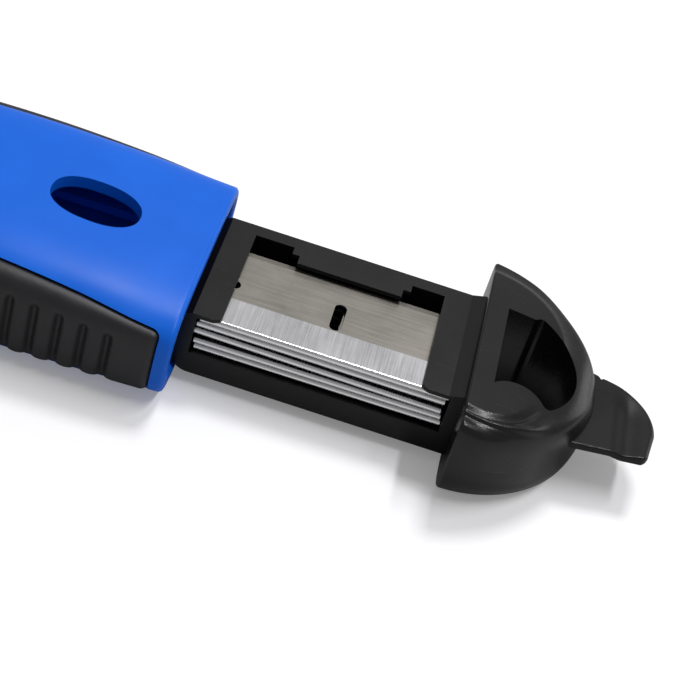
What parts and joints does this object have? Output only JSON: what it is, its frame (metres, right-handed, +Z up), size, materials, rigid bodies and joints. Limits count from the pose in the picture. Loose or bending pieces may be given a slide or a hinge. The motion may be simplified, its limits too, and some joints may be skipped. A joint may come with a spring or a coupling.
{
  "type": "razor blade scraper",
  "caption": "Hand scraper with a razor blade in a sliding carrier at its nose, rubber side grips and a blade magazine drawer in the end of its handle.",
  "frame": {"origin": "middle of the bounding box in X and Y, on the belly plane at z = 0, with the drawer drawn out and the blade drawn back", "axes": "+X along the tool from the cutting edge to the pull tab, +Z up from the belly, -Y the side on which the drawer's tray is open"},
  "size_m": [0.1944, 0.046, 0.0184],
  "materials": {
    "blue_shell": "satin moulded plastic with a fine grain",
    "black_plastic": "black satin moulded plastic",
    "grip_rubber": "soft dark grey rubber with cross grooves",
    "blade_steel": "warm grey rolled blade steel with a ground bevel",
    "spine_steel": "bright folded steel with fine cross scratches",
    "screw_steel": "plain plated steel"
  },
  "bodies": {
    "handle": {"upper_shell": "blue_shell", "lower_shell": "blue_shell", "grip_near": "grip_rubber", "grip_far": "grip_rubber", "shell_screws": "screw_steel", "nose_housing": "black_plastic"},
    "carriage": {"blade_carrier": "black_plastic", "thumb_slider": "blue_shell", "slider_screw": "screw_steel", "detent_spring": "screw_steel", "working_blade": "blade_steel", "working_spine": "spine_steel"},
    "drawer": {"magazine_tray": "black_plastic", "end_cap": "black_plastic", "pull_tab": "black_plastic"},
    "spare_1": {"spare_blade_1": "blade_steel", "spare_spine_1": "spine_steel"},
    "spare_2": {"spare_blade_2": "blade_steel", "spare_spine_2": "spine_steel"},
    "spare_3": {"spare_blade_3": "blade_steel", "spare_spine_3": "spine_steel"},
    "spare_4": {"spare_blade_4": "blade_steel", "spare_spine_4": "spine_steel"},
    "spare_5": {"spare_blade_5": "blade_steel", "spare_spine_5": "spine_steel"}
  },
  "joints": [
    {"name": "drawer_slide", "type": "slide", "parent": "handle", "child": "drawer", "axis": [1, 0, 0], "range_m": [-0.0421, 0.0015]},
    {"name": "carriage_slide", "type": "slide", "parent": "handle", "child": "carriage", "axis": [-1, 0, 0], "range_m": [0, 0.0095]},
    {"name": "spare_1_slide", "type": "slide", "parent": "drawer", "child": "spare_1", "axis": [0, -1, 0], "range_m": [0, 0.02]},
    {"name": "spare_2_slide", "type": "slide", "parent": "drawer", "child": "spare_2", "axis": [0, -1, 0], "range_m": [0, 0.02]},
    {"name": "spare_3_slide", "type": "slide", "parent": "drawer", "child": "spare_3", "axis": [0, -1, 0], "range_m": [0, 0.02]},
    {"name": "spare_4_slide", "type": "slide", "parent": "drawer", "child": "spare_4", "axis": [0, -1, 0], "range_m": [0, 0.02]},
    {"name": "spare_5_slide", "type": "slide", "parent": "drawer", "child": "spare_5", "axis": [0, -1, 0], "range_m": [0, 0.02]}
  ]
}
